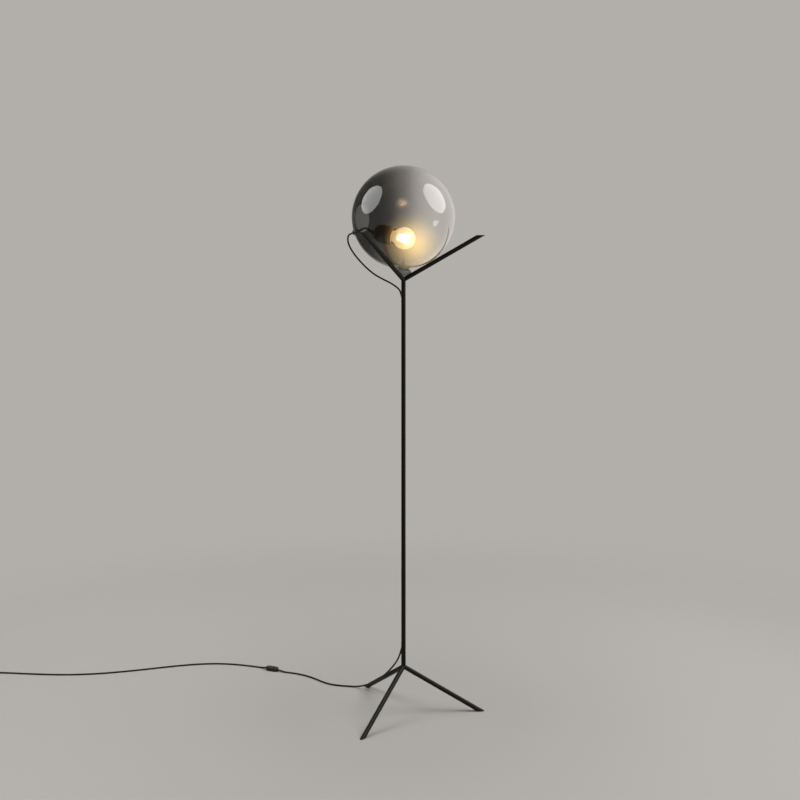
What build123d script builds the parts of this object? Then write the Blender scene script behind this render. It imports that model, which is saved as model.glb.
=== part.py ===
# Floor lamp: a smoked glass globe resting in three arms on a pole with three legs, with its cable,
# inline switch and plug. Millimetres. The origin is on the floor under the pole, +Z is up, +X is to the
# right and -Y is the front.

import os
from math import atan2, cos, degrees, pi, radians, sin, sqrt, tan

from build123d import *

os.makedirs("parts", exist_ok=True)

# ---------------------------------------------------------------- frame
rod_dia = 12.0
rod_reach = 209.0  # from the pole's axis to where a leg's axis meets the floor
rod_slope = 30.0  # of the legs and arms, from level
pole_dia = 12.0
pole_wall = 1.5
hub_spacing = 1043.4  # between the points where the legs and the arms meet
foot_pad_thick = 1.6
foot_pad_margin = 0.5
rod_azimuths = {"right": 0.0, "back": 120.0, "front": 240.0}

slot_length = 30.0
slot_width = 7.0
slot_bush_wall = 0.7
slot_bush_lip = 1.2  # how far the lips reach past the slot's edge
slot_bush_proud = 0.5
upper_slot_drop = 44.0  # from the arms' meeting point down to the slot's middle
lower_slot_rise = 48.3  # from the legs' meeting point up to the slot's middle
lower_slot_azimuth = 170.0

# ---------------------------------------------------------------- globe
globe_dia = 280.0
glass_wall = 2.5
globe_rest_gap = 0.3
mouth_dia = 78.0
mouth_azimuth = 150.0
mouth_lip_dia = 4.4
seat_top_radius = 14.0
seat_radius = 21.0
seat_point_radius = 4.0
seat_edge = 4.8
seat_gap = 0.1

# ---------------------------------------------------------------- gland and stem
gland_azimuth = 175.0
gland_elevation = -17.0
gland_shank_dia = 9.6
gland_hole_clearance = 0.3
gland_flange_dia = 15.0
gland_flange_thick = 2.0
gland_flange_bevel = 1.2
gland_nose_dia = 9.0
gland_nose_length = 1.4
gland_nose_bevel = 0.56
gland_shank_reach = 5.5  # of the shank inside the glass
washer_skin = 0.05  # between the glass and its washers
stem_seat = 0.2  # of the stem past the gland's nut seat
washer_thick = 1.2
gland_nut_flats = 15.0
gland_nut_thick = 3.0
stem_dia = 4.4
stem_bore = 3.0
slide_fit = 0.1  # radial, of pieces of one body that slip into each other
stem_first_bend = 9.0  # from the stem's outer end to its first bend
stem_bends = ((-0.761, 0.089, -0.201), (-0.679, 0.125, -0.216))  # in shares of the globe's radius
stem_straight = 13.0  # of the stem behind the lampholder
sleeve_wall = 0.8
sleeve_length = 14.0

# ---------------------------------------------------------------- lampholder
holder_back = (-0.559, 0.1, -0.2886)  # the dome's top, in shares of the globe's radius
holder_yaw = -20.0
holder_pitch = -11.3
cup_dia = 50.0
cup_length = 56.0
cup_wall = 1.5
dome_depth = 18.0
ring_length = 9.5
ring_wall = 1.9
ring_lip = 1.4
ring_back_thick = 1.33
nipple_dia = 9.8
nipple_collar_dia = 12.4
nipple_collar_length = 8.0
nipple_collar_bevel = 1.0
nipple_reach = 4.6  # of the thread inside the dome
nipple_nut_flats = 14.0
nipple_nut_thick = 1.9
grub_screw_dia = 3.0
grub_screw_sunk = 0.4
insert_floor = 8.0  # from the dome's top to the insert's back
insert_floor_thick = 3.0
insert_length = 33.0
insert_skirt_dia = 35.0
insert_flange_thick = 3.0
shell_bore = 27.2
shell_wall = 0.5
shell_length = 25.0
contact_strip = 0.4
contact_width = 6.0
contact_rise_start = 5.1  # across the holder, where the centre contact leaves its floor
contact_rise_end = 2.4
contact_heel = 0.2
terminal_spread = 9.0
terminal_size = (6.0, 5.0, 3.2)
terminal_screw_dia = 2.6
wire_dia = 1.2
wire_in_nipple = 3.0
stem_short = 0.6  # of the stem's end inside the nipple

# ---------------------------------------------------------------- bulb
bulb_dia = 60.0
bulb_foot = 44.0  # from the end contact to the ball's lowest point
bulb_start = 13.3  # from the dome's top to the bulb's end contact
bulb_wall = 0.8
bulb_neck_dia = 24.4
bulb_neck_curve = 38.0
cap_dia = 26.6
cap_wall = 0.8
cap_length = 23.4
cap_start = 3.3  # from the end contact to the cap's shell
cap_shoulder = 1.5
glass_in_cap = 2.0
end_contact_thick = 1.15
end_contact_dia = 8.4
end_contact_face_dia = 6.5
insulator_face_dia = 9.3
mount_rod_dia = 4.4
mount_edge = 1.2
mount_flare = 11.0  # from the mount's foot to where its flare has narrowed
mount_neck = 18.0
mount_overlap = 1.0
filament_dia = 1.8
filament_length = 34.0
filament_count = 8
filament_foot_radius = 6.0
filament_top_radius = 13.0
lead_dia = 0.7

# ---------------------------------------------------------------- cable
cable_dia = 4.6
switch_cable_height = 4.6
upper_mouth_run = 9.0  # straight on out of the pole's upper slot
lower_mouth_run = 10.0
switch_level_run = 8.0  # of the cable outside the switch before it sinks to the floor
switch_sink_run = 14.0
coil_entry_run = 36.0
coil_radius = 34.0  # of the outermost turn's centre line
coil_step = 5.2  # from one turn to the next, sideways and upwards
coil_half_turns = 7  # in the lower layer
coil_lift = 0.8  # above the floor, for the tie
coil_start = (-1248.0, 285.0)
coil_lead_level = 26.0  # straight on over the outermost turn
coil_lead_drop = 26.0  # from there down to the plug's height
coil_lead_end = 3.0
tie_thick = 0.6
tie_width = 9.0
tie_play = 0.1
tie_corner = 2.0

# ---------------------------------------------------------------- inline switch
switch_centre = (-390.0, 310.0)
switch_heading = 153.0  # from the pole's side to the plug's side
switch_length = 40.0
switch_width = 18.0
switch_end_width = 8.4
switch_end_taper = 0.6  # how much of an inset the ends' width takes
switch_shoulder = 13.0
switch_height = 10.5
switch_wall = 1.6
switch_corner = 1.5
switch_top_edge = 1.2
switch_foot_edge = 0.6
rocker_length = 13.0
rocker_width = 8.4
rocker_gap = 0.7
rocker_tilt = 7.0
rocker_pivot_height = 8.2
rocker_crown = 3.6
rocker_dish = 1.6  # of its top, between its ends
rocker_skirt = 0.6
rocker_belly = 1.6
rocker_foot = 2.2
trunnion_dia = 2.4
trunnion_clearance = 0.05
trunnion_short = 0.2
bearing_thick = 1.6
bearing_length = 5.8
bearing_play = 0.3
bridge_thick = 0.6
bridge_drop = 3.2
bridge_half_width = 1.5
contact_air_gap = 0.1
terminal_inset = 8.8
block_half_length = 1.7
block_half_width = 1.9
contact_finger = 0.8
contact_overlap = 1.6
contact_back = 0.2
block_screw_dia = 2.6
block_screw_head = 1.4
switch_screw_dia = 2.0
switch_screw_play = 0.15
switch_screw_head = 1.0
switch_screw_sunk = 0.2
switch_screw_grip = 2.0  # of its shank in the cover
switch_screw_bore = 3.5
boss_wall = 1.2
switch_screw_spread = (9.6, 5.5)
clamp_size = (2.6, 8.4, 2.2)
cord_in_switch = 6.0
notch_play = 0.15
clamp_play = 0.05
clamp_seat = 0.9  # of the clamp's foot below the cable's top
clamp_inset = 0.2

# ---------------------------------------------------------------- plug
plug_width = 35.3
plug_thick = 13.7
plug_length = 36.0
plug_front_length = 21.0
plug_rear_share = 0.46
plug_rear_height = 0.5  # how much of the height stays as the width goes
plug_side_slope = 0.8
plug_side_blunt = 0.2
pin_dia = 4.0
pin_length = 19.0
pin_tip = 1.5
pin_spacing = 18.6
relief_length = 26.0
relief_small_dia = 6.4
relief_large_dia = 9.6
relief_grooves = 6
relief_groove_width = 1.5
relief_groove_depth = 0.8

# ---------------------------------------------------------------- places worked out from the sizes
rod_rise = rod_reach * tan(radians(rod_slope))
lower_hub = rod_rise
upper_hub = lower_hub + hub_spacing
globe_radius = globe_dia / 2
globe_centre = Vector(
    0, 0, upper_hub + (globe_radius + rod_dia / 2 + globe_rest_gap) / cos(radians(rod_slope))
)


def direction(azimuth, elevation=0.0):
    level = cos(radians(elevation))
    return Vector(
        level * cos(radians(azimuth)), level * sin(radians(azimuth)), sin(radians(elevation))
    )


def turned_section(origin, axis):
    """A plane whose X runs along the axis, for a profile of distances along it and radii."""
    side = axis.cross(Vector(0, 0, 1))
    return Plane(origin=origin, x_dir=axis, z_dir=side)


def finish(piece, name):
    piece.part.label = name
    export_step(piece.part, f"parts/{name}.step")


# ================================================================ frame
def mitre(hub, own, other):
    """The plane between two rods that meet at a hub, facing the first one."""
    return Plane(origin=(0, 0, hub), z_dir=own - other)


def rod(hub, way, azimuth, end_height):
    """A leg (way -1) or an arm (way 1), mitred at the hub and cut level at its end."""
    own = direction(azimuth, way * rod_slope)
    with BuildPart() as piece:
        with BuildSketch(Plane(origin=Vector(0, 0, hub) - own * rod_dia, z_dir=own)):
            Circle(rod_dia / 2)
        extrude(amount=rod_reach / cos(radians(rod_slope)) + 4 * rod_dia)
        split(bisect_by=mitre(hub, own, Vector(0, 0, -way)), keep=Keep.TOP)
        for turn in (120, -120):
            split(bisect_by=mitre(hub, own, direction(azimuth + turn, way * rod_slope)), keep=Keep.TOP)
        split(bisect_by=Plane(origin=(0, 0, end_height), z_dir=(0, 0, -way)), keep=Keep.TOP)
    return piece


for spot, azimuth in rod_azimuths.items():
    finish(rod(lower_hub, -1, azimuth, foot_pad_thick), f"leg_{spot}")
    finish(rod(upper_hub, 1, azimuth, upper_hub + rod_rise), f"arm_{spot}")

foot_reach = rod_reach - foot_pad_thick / tan(radians(rod_slope))
for spot, azimuth in rod_azimuths.items():
    with BuildPart() as foot_pad:
        with BuildSketch(Plane(origin=direction(azimuth) * foot_reach, x_dir=direction(azimuth))):
            Ellipse(
                rod_dia / 2 / sin(radians(rod_slope)) - foot_pad_margin,
                rod_dia / 2 - foot_pad_margin,
            )
        extrude(amount=foot_pad_thick)
    finish(foot_pad, f"foot_pad_{spot}")

upper_slot = upper_hub - upper_slot_drop
lower_slot = lower_hub + lower_slot_rise


def slot_plane(height, azimuth):
    """Upright on the pole's axis, facing out of the slot, with X up."""
    return Plane(origin=(0, 0, height), x_dir=(0, 0, 1), z_dir=direction(azimuth))


with BuildPart() as pole_tube:
    with BuildSketch(Plane.XY.offset(lower_hub)):
        Circle(pole_dia / 2)
        Circle(pole_dia / 2 - pole_wall, mode=Mode.SUBTRACT)
    extrude(amount=hub_spacing)
    for azimuth in rod_azimuths.values():
        for hub, way in ((lower_hub, -1), (upper_hub, 1)):
            split(
                bisect_by=mitre(hub, direction(azimuth, way * rod_slope), Vector(0, 0, -way)),
                keep=Keep.BOTTOM,
            )
    for height, azimuth in ((upper_slot, gland_azimuth), (lower_slot, lower_slot_azimuth)):
        with BuildSketch(slot_plane(height, azimuth)):
            SlotOverall(slot_length, slot_width)
        extrude(amount=pole_dia, mode=Mode.SUBTRACT)
finish(pole_tube, "pole_tube")

for spot, height, azimuth in (
    ("upper", upper_slot, gland_azimuth),
    ("lower", lower_slot, lower_slot_azimuth),
):
    with BuildPart() as cable_bush:
        with BuildSketch(slot_plane(height, azimuth)):
            SlotOverall(slot_length + 2 * slot_bush_lip, slot_width + 2 * slot_bush_lip)
            SlotOverall(
                slot_length - 2 * slot_bush_wall, slot_width - 2 * slot_bush_wall, mode=Mode.SUBTRACT
            )
        extrude(amount=pole_dia)
        with BuildSketch(Plane.XY.offset(height - slot_length)):
            Circle(pole_dia / 2 + slot_bush_proud)
            Circle(pole_dia / 2 - pole_wall - slot_bush_proud, mode=Mode.SUBTRACT)
        extrude(amount=2 * slot_length, mode=Mode.INTERSECT)
        add(pole_tube.part, mode=Mode.SUBTRACT)
    finish(cable_bush, f"{spot}_cable_bush")

# The seat stands on the three arms' ridges and holds the globe at its lowest point.
seat_floor = upper_hub + rod_dia / 2 / cos(radians(rod_slope)) + seat_gap
seat_sphere = globe_radius + globe_rest_gap
with BuildPart() as globe_seat:
    with BuildSketch(Plane.XZ):
        with BuildLine():
            point_height = seat_floor + seat_point_radius * tan(radians(rod_slope))
            rim_height = seat_floor + seat_radius * tan(radians(rod_slope))
            dish_height = globe_centre.Z - sqrt(seat_sphere**2 - seat_top_radius**2)
            Polyline(
                (0, globe_centre.Z - seat_sphere),
                (0, point_height),
                (seat_point_radius, point_height),
                (seat_radius, rim_height),
                (seat_radius, rim_height + seat_edge),
                (seat_top_radius, dish_height),
            )
            RadiusArc((seat_top_radius, dish_height), (0, globe_centre.Z - seat_sphere), seat_sphere)
        make_face()
    revolve(axis=Axis.Z)
finish(globe_seat, "globe_seat")

# ================================================================ globe
mouth_direction = direction(mouth_azimuth)
mouth_circle = globe_radius - glass_wall / 2
mouth_angle = degrees(atan2(
    mouth_dia / 2 + mouth_lip_dia / 2,
    sqrt(mouth_circle**2 - (mouth_dia / 2 + mouth_lip_dia / 2) ** 2),
))
gland_direction = direction(gland_azimuth, gland_elevation)


def gland_plane(distance):
    """Square to the gland's axis, at a distance from the globe's centre, facing outwards."""
    return Plane(origin=globe_centre + gland_direction * distance, z_dir=gland_direction)


with BuildPart() as glass_globe:
    with BuildSketch(turned_section(globe_centre, mouth_direction)):
        with BuildLine():
            CenterArc((0, 0), globe_radius, mouth_angle, 180 - mouth_angle)
            CenterArc((0, 0), globe_radius - glass_wall, mouth_angle, 180 - mouth_angle)
            edge = Vector(cos(radians(mouth_angle)), sin(radians(mouth_angle)))
            Line(edge * globe_radius, edge * (globe_radius - glass_wall))
            Line((-globe_radius, 0), (glass_wall - globe_radius, 0))
        make_face()
        with Locations(edge * mouth_circle):
            Circle(mouth_lip_dia / 2)
    revolve(axis=Axis(globe_centre, mouth_direction))
    with BuildSketch(gland_plane(0)):
        Circle(gland_shank_dia / 2 + gland_hole_clearance)
    extrude(amount=globe_dia, mode=Mode.SUBTRACT)
finish(glass_globe, "glass_globe")

flange_seat = globe_radius + washer_thick
nut_seat = globe_radius - glass_wall - washer_thick
shank_end = globe_radius - glass_wall - gland_shank_reach
nose_end = flange_seat + gland_flange_thick + gland_nose_length
stem_start = nut_seat - stem_seat
gland_section = turned_section(globe_centre, gland_direction)

with BuildPart() as gland_washer_outer:
    with BuildSketch(gland_plane(flange_seat)):
        Circle(gland_flange_dia / 2)
        Circle(gland_shank_dia / 2 + gland_hole_clearance, mode=Mode.SUBTRACT)
    extrude(amount=-2 * washer_thick)
    with Locations(globe_centre):
        Sphere(globe_radius + washer_skin, mode=Mode.SUBTRACT)
finish(gland_washer_outer, "gland_washer_outer")

with BuildPart() as gland_washer_inner:
    with BuildSketch(gland_plane(nut_seat)):
        Circle(gland_flange_dia / 2)
        Circle(gland_shank_dia / 2 + gland_hole_clearance, mode=Mode.SUBTRACT)
    extrude(amount=2 * washer_thick)
    with Locations(globe_centre):
        Sphere(globe_radius - glass_wall - washer_skin, mode=Mode.INTERSECT)
finish(gland_washer_inner, "gland_washer_inner")

with BuildPart() as gland_bush:
    with BuildSketch(gland_section):
        with BuildLine():
            Polyline(
                (shank_end, stem_dia / 2 + slide_fit),
                (shank_end, gland_shank_dia / 2),
                (flange_seat, gland_shank_dia / 2),
                (flange_seat, gland_flange_dia / 2),
                (flange_seat + gland_flange_bevel, gland_flange_dia / 2),
                (flange_seat + gland_flange_thick, gland_flange_dia / 2 - gland_flange_bevel),
                (flange_seat + gland_flange_thick, gland_nose_dia / 2),
                (nose_end, gland_nose_dia / 2 - gland_nose_bevel),
                (nose_end, cable_dia / 2 + slide_fit),
                (nut_seat, cable_dia / 2 + slide_fit),
                (nut_seat, stem_dia / 2 + slide_fit),
                close=True,
            )
        make_face()
    revolve(axis=Axis(globe_centre, gland_direction))
finish(gland_bush, "gland_bush")

with BuildPart() as gland_nut:
    with BuildSketch(gland_plane(nut_seat)):
        RegularPolygon(gland_nut_flats / 2, 6, major_radius=False)
        Circle(gland_shank_dia / 2 + slide_fit, mode=Mode.SUBTRACT)
    extrude(amount=-gland_nut_thick)
finish(gland_nut, "gland_nut")

# ---------------------------------------------------------------- stem
holder_origin = globe_centre + Vector(*holder_back) * globe_radius
holder_direction = direction(holder_yaw, holder_pitch)


def corner_radii(points):
    """The largest arc for each corner of a route that leaves a tenth of the shorter run straight."""
    radii = []
    for before, here, after in zip(points, points[1:], points[2:]):
        first = Vector(here) - Vector(before)
        second = Vector(after) - Vector(here)
        half_turn = radians(first.get_angle(second)) / 2
        radii.append(0.45 * min(first.length, second.length) / tan(half_turn))
    return radii


first_bend = globe_centre + gland_direction * (stem_start - stem_first_bend)
stem_route = [
    globe_centre + gland_direction * stem_start,
    first_bend,
    *[globe_centre + Vector(*bend) * globe_radius for bend in stem_bends],
    holder_origin - holder_direction * stem_straight,
    holder_origin + holder_direction * (nipple_reach - stem_short),
]
stem_radii = corner_radii(stem_route)

with BuildPart() as holder_stem:
    with BuildLine() as stem_path:
        FilletPolyline(*stem_route, radius=stem_radii)
    with BuildSketch(Plane(origin=stem_route[0], z_dir=-gland_direction)):
        Circle(stem_dia / 2)
        Circle(stem_bore / 2, mode=Mode.SUBTRACT)
    sweep()
finish(holder_stem, "holder_stem")

sleeve_start = globe_centre + gland_direction * (shank_end - slide_fit)
sleeve_second_run = (stem_route[2] - first_bend).normalized()
with BuildPart() as stem_sleeve:
    with BuildLine():
        sleeve_tail = sleeve_length - (sleeve_start - first_bend).length
        FilletPolyline(
            sleeve_start,
            first_bend,
            first_bend + sleeve_second_run * sleeve_tail,
            radius=stem_radii[:1],
        )
    with BuildSketch(Plane(origin=sleeve_start, z_dir=-gland_direction)):
        Circle(stem_dia / 2 + slide_fit + sleeve_wall)
        Circle(stem_dia / 2 + slide_fit, mode=Mode.SUBTRACT)
    sweep()
finish(stem_sleeve, "stem_sleeve")

# ================================================================ lampholder
holder_section = turned_section(holder_origin, holder_direction)
holder_axis = Axis(holder_origin, holder_direction)
holder_side = holder_section.y_dir


def holder_plane(distance):
    """Square to the lampholder's axis, at a distance from the dome's top, facing the bulb."""
    return Plane(
        origin=holder_origin + holder_direction * distance, x_dir=holder_side, z_dir=holder_direction
    )


def dome_depth_at(radius, wall=0.0):
    """How far in front of its top the dome's outer or inner face lies at a radius."""
    return dome_depth - (dome_depth - wall) * sqrt(1 - (radius / (cup_dia / 2 - wall)) ** 2)


with BuildPart() as holder_cup:
    with BuildSketch(holder_section):
        with BuildLine():
            EllipticalCenterArc((dome_depth, 0), dome_depth, cup_dia / 2, 90, arc_size=90)
            EllipticalCenterArc(
                (dome_depth, 0), dome_depth - cup_wall, cup_dia / 2 - cup_wall, 90, arc_size=90
            )
            Line((0, 0), (cup_wall, 0))
            Polyline(
                (dome_depth, cup_dia / 2),
                (cup_length, cup_dia / 2),
                (cup_length, cup_dia / 2 - cup_wall),
                (dome_depth, cup_dia / 2 - cup_wall),
            )
        make_face()
    revolve(axis=holder_axis)
    with BuildSketch(holder_plane(-cup_wall)):
        Circle(nipple_dia / 2 + slide_fit)
    extrude(amount=dome_depth, mode=Mode.SUBTRACT)
finish(holder_cup, "holder_cup")

with BuildPart() as holder_ring:
    with BuildSketch(holder_section):
        with BuildLine():
            ring_back = cup_length + slide_fit + ring_lip - ring_length
            ring_bore = cup_dia / 2 + slide_fit
            Polyline(
                (ring_back, ring_bore),
                (ring_back, ring_bore + ring_back_thick),
                (ring_back + ring_wall, ring_bore + ring_wall),
                (cup_length + slide_fit + ring_lip, ring_bore + ring_wall),
                (cup_length + slide_fit + ring_lip, cup_dia / 2 - cup_wall),
                (cup_length + slide_fit, cup_dia / 2 - cup_wall),
                (cup_length + slide_fit, ring_bore),
                close=True,
            )
        make_face()
    revolve(axis=holder_axis)
finish(holder_ring, "holder_ring")

collar_face = dome_depth_at(nipple_dia / 2 + slide_fit) - slide_fit / 2
grub_screw_place = collar_face - nipple_collar_length / 2
grub_plane = Plane(
    origin=holder_origin + holder_direction * grub_screw_place, z_dir=-holder_side
)
with BuildPart() as stem_nipple:
    with BuildSketch(holder_section):
        with BuildLine():
            Polyline(
                (collar_face - nipple_collar_length, stem_dia / 2 + slide_fit),
                (collar_face - nipple_collar_length, nipple_collar_dia / 2 - nipple_collar_bevel),
                (collar_face - nipple_collar_length + nipple_collar_bevel, nipple_collar_dia / 2),
                (collar_face, nipple_collar_dia / 2),
                (collar_face, nipple_dia / 2),
                (nipple_reach, nipple_dia / 2),
                (nipple_reach, stem_dia / 2 + slide_fit),
                close=True,
            )
        make_face()
    revolve(axis=holder_axis)
    with BuildSketch(grub_plane):
        Circle(grub_screw_dia / 2 + slide_fit / 2)
    extrude(amount=nipple_collar_dia, mode=Mode.SUBTRACT)
finish(stem_nipple, "stem_nipple")

with BuildPart() as stem_grub_screw:
    with BuildSketch(grub_plane.offset(stem_dia / 2 + slide_fit / 2)):
        Circle(grub_screw_dia / 2)
    extrude(amount=nipple_collar_dia / 2 - stem_dia / 2 - grub_screw_sunk)
    with BuildSketch(Plane(faces().sort_by(Axis(grub_plane.origin, grub_plane.z_dir))[-1])):
        RegularPolygon(grub_screw_dia * 0.25, 6)
    extrude(amount=-grub_screw_dia / 3, mode=Mode.SUBTRACT)
finish(stem_grub_screw, "stem_grub_screw")

nipple_nut_corner = nipple_nut_flats / 2 / cos(radians(30))
with BuildPart() as nipple_nut:
    with BuildSketch(holder_plane(dome_depth_at(nipple_nut_corner, cup_wall) + slide_fit / 2)):
        RegularPolygon(nipple_nut_flats / 2, 6, major_radius=False)
        Circle(nipple_dia / 2 + slide_fit, mode=Mode.SUBTRACT)
    extrude(amount=nipple_nut_thick)
finish(nipple_nut, "nipple_nut")

insert_face = insert_floor + insert_floor_thick
insert_bore = shell_bore / 2 + shell_wall + slide_fit
with BuildPart() as holder_insert:
    with BuildSketch(holder_section):
        with BuildLine():
            Polyline(
                (insert_floor, 0),
                (insert_floor, insert_skirt_dia / 2),
                (insert_floor + insert_length - insert_flange_thick, insert_skirt_dia / 2),
                (
                    insert_floor + insert_length - insert_flange_thick,
                    cup_dia / 2 - cup_wall - slide_fit,
                ),
                (insert_floor + insert_length, cup_dia / 2 - cup_wall - slide_fit),
                (insert_floor + insert_length, insert_bore),
                (insert_face, insert_bore),
                (insert_face, 0),
                close=True,
            )
        make_face()
    revolve(axis=holder_axis)
    with BuildSketch(holder_plane(insert_floor)):
        with Locations((-terminal_spread, 0), (terminal_spread, 0)):
            Circle(terminal_screw_dia / 2 + slide_fit)
    extrude(amount=insert_floor_thick, mode=Mode.SUBTRACT)
finish(holder_insert, "holder_insert")

shell_start = insert_face + 4 * contact_strip
with BuildPart() as screw_shell:
    with BuildSketch(holder_plane(shell_start)):
        Circle(shell_bore / 2 + shell_wall)
        Circle(shell_bore / 2, mode=Mode.SUBTRACT)
    extrude(amount=shell_length)
finish(screw_shell, "screw_shell")

strip_foot = insert_face + slide_fit
strip_top = bulb_start - slide_fit
strip_heel = terminal_spread + terminal_screw_dia / 2 + contact_heel
with BuildPart() as centre_contact:
    with BuildSketch(holder_section):
        with BuildLine():
            Polyline(
                (strip_foot, -strip_heel),
                (strip_foot, -contact_rise_start),
                (strip_top - contact_strip, -contact_rise_end),
                (strip_top - contact_strip, contact_rise_end),
                (strip_top, contact_rise_end),
                (strip_top, -contact_rise_end - contact_heel),
                (strip_foot + contact_strip, -contact_rise_start - contact_heel),
                (strip_foot + contact_strip, -strip_heel),
                close=True,
            )
        make_face()
    extrude(amount=contact_width / 2, both=True)
    with BuildSketch(holder_plane(insert_floor - contact_strip)):
        with Locations((-terminal_spread, 0)):
            Circle(terminal_screw_dia / 2)
    extrude(amount=insert_floor_thick + contact_strip + 2 * slide_fit)
finish(centre_contact, "centre_contact")

side_reach = shell_bore / 2 + shell_wall / 2
with BuildPart() as side_contact:
    with BuildSketch(holder_section):
        with BuildLine():
            Polyline(
                (strip_foot, terminal_spread - terminal_screw_dia),
                (strip_foot, side_reach),
                (shell_start - slide_fit / 2, side_reach),
                (shell_start - slide_fit / 2, side_reach - contact_strip),
                (strip_foot + contact_strip, side_reach - contact_strip),
                (strip_foot + contact_strip, terminal_spread - terminal_screw_dia),
                close=True,
            )
        make_face()
    extrude(amount=contact_width / 2, both=True)
    with BuildSketch(holder_plane(insert_floor - contact_strip)):
        with Locations((terminal_spread, 0)):
            Circle(terminal_screw_dia / 2)
    extrude(amount=insert_floor_thick + contact_strip + 2 * slide_fit)
finish(side_contact, "side_contact")

block_depth = terminal_size[2]
block_middle = insert_floor - slide_fit - block_depth / 2
with BuildPart() as terminal_blocks:
    for side in (-1, 1):
        block_side = holder_side * side
        with BuildSketch(
            Plane(
                origin=holder_origin + holder_direction * block_middle + block_side * terminal_spread,
                x_dir=block_side,
                z_dir=holder_direction,
            )
        ):
            Rectangle(terminal_size[0], terminal_size[1])
            Circle(terminal_screw_dia / 2 + slide_fit, mode=Mode.SUBTRACT)
        extrude(amount=block_depth / 2, both=True)
finish(terminal_blocks, "terminal_blocks")

with BuildPart() as terminal_screws:
    for side in (-1, 1):
        screw_origin = holder_origin + holder_direction * block_middle
        screw_start = terminal_spread + terminal_size[0] / 2 + slide_fit / 2
        with BuildSketch(
            Plane(origin=screw_origin + holder_side * side * screw_start, z_dir=holder_side * side)
        ):
            Circle(terminal_screw_dia / 2)
        extrude(amount=terminal_screw_dia * 0.7)
finish(terminal_screws, "terminal_screws")

with BuildPart() as lamp_wires:
    for side in (-1, 1):
        wire_side = holder_side * side
        wire_step = wire_dia / 2 + slide_fit
        wire_foot = holder_origin + wire_side * wire_step
        wire_route = [
            wire_foot + holder_direction * (nipple_reach - wire_in_nipple),
            wire_foot + holder_direction * block_middle,
            holder_origin
            + holder_direction * block_middle
            + wire_side * (terminal_spread - terminal_size[0] / 2),
        ]
        with BuildLine():
            FilletPolyline(*wire_route, radius=wire_dia)
        with BuildSketch(Plane(origin=wire_route[0], z_dir=holder_direction)):
            Circle(wire_dia / 2)
        sweep()
finish(lamp_wires, "lamp_wires")

# ================================================================ bulb
ball_centre = bulb_start + bulb_foot + bulb_dia / 2
neck_centre_radius = bulb_neck_dia / 2 + bulb_neck_curve
neck_centre = ball_centre - sqrt((bulb_dia / 2 + bulb_neck_curve) ** 2 - neck_centre_radius**2)
neck_turn = degrees(atan2(neck_centre_radius, ball_centre - neck_centre))
glass_start = bulb_start + cap_start + cap_length - glass_in_cap

with BuildPart() as bulb_glass:
    with BuildSketch(holder_section):
        with BuildLine():
            for inwards in (0, bulb_wall):
                CenterArc((ball_centre, 0), bulb_dia / 2 - inwards, 0, 180 - neck_turn)
                CenterArc(
                    (neck_centre, neck_centre_radius), bulb_neck_curve + inwards, -90, 90 - neck_turn
                )
                Line(
                    (neck_centre, bulb_neck_dia / 2 - inwards),
                    (glass_start, bulb_neck_dia / 2 - inwards),
                )
            Line((glass_start, bulb_neck_dia / 2), (glass_start, bulb_neck_dia / 2 - bulb_wall))
            Line((ball_centre + bulb_dia / 2, 0), (ball_centre + bulb_dia / 2 - bulb_wall, 0))
        make_face()
    revolve(axis=holder_axis)
finish(bulb_glass, "bulb_glass")

cap_back = bulb_start + cap_start
insulator_radius = cap_dia / 2 - 2 * cap_wall
with BuildPart() as bulb_cap:
    with BuildSketch(holder_section):
        with BuildLine():
            Polyline(
                (cap_back, insulator_radius + slide_fit),
                (cap_back, insulator_radius + cap_wall),
                (cap_back + cap_shoulder, cap_dia / 2),
                (cap_back + cap_length, cap_dia / 2),
                (cap_back + cap_length, cap_dia / 2 - cap_wall),
                (cap_back + 3 * cap_wall, cap_dia / 2 - cap_wall),
                (cap_back + 3 * cap_wall, insulator_radius + slide_fit),
                close=True,
            )
        make_face()
    revolve(axis=holder_axis)
finish(bulb_cap, "bulb_cap")

with BuildPart() as bulb_insulator:
    with BuildSketch(holder_section):
        with BuildLine():
            Polyline(
                (bulb_start + end_contact_thick, 0),
                (bulb_start + end_contact_thick, insulator_face_dia / 2),
                (cap_back - slide_fit, insulator_radius),
                (cap_back + 3 * cap_wall, insulator_radius),
                (cap_back + 3 * cap_wall, 0),
                close=True,
            )
        make_face()
    revolve(axis=holder_axis)
finish(bulb_insulator, "bulb_insulator")

with BuildPart() as bulb_contact:
    with BuildSketch(holder_section):
        with BuildLine():
            Polyline(
                (bulb_start, 0),
                (bulb_start, end_contact_face_dia / 2),
                (bulb_start + end_contact_thick / 2, end_contact_dia / 2),
                (bulb_start + end_contact_thick, end_contact_dia / 2),
                (bulb_start + end_contact_thick, 0),
                close=True,
            )
        make_face()
    revolve(axis=holder_axis)
finish(bulb_contact, "bulb_contact")

filament_foot = ball_centre - filament_length / 2
filament_end = ball_centre + filament_length / 2
mount_foot = glass_start + mount_overlap
mount_top = filament_end + mount_overlap
with BuildPart() as bulb_mount:
    with BuildSketch(holder_section):
        with BuildLine():
            Polyline(
                (mount_foot, 0),
                (mount_foot, bulb_neck_dia / 2 - bulb_wall - slide_fit),
                (mount_foot + mount_edge, bulb_neck_dia / 2 - bulb_wall - slide_fit),
                (mount_foot + mount_flare, mount_rod_dia),
                (mount_foot + mount_neck, mount_rod_dia / 2),
                (mount_top, mount_rod_dia / 2),
                (mount_top, 0),
                close=True,
            )
        make_face()
    revolve(axis=holder_axis)
finish(bulb_mount, "bulb_mount")


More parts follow.
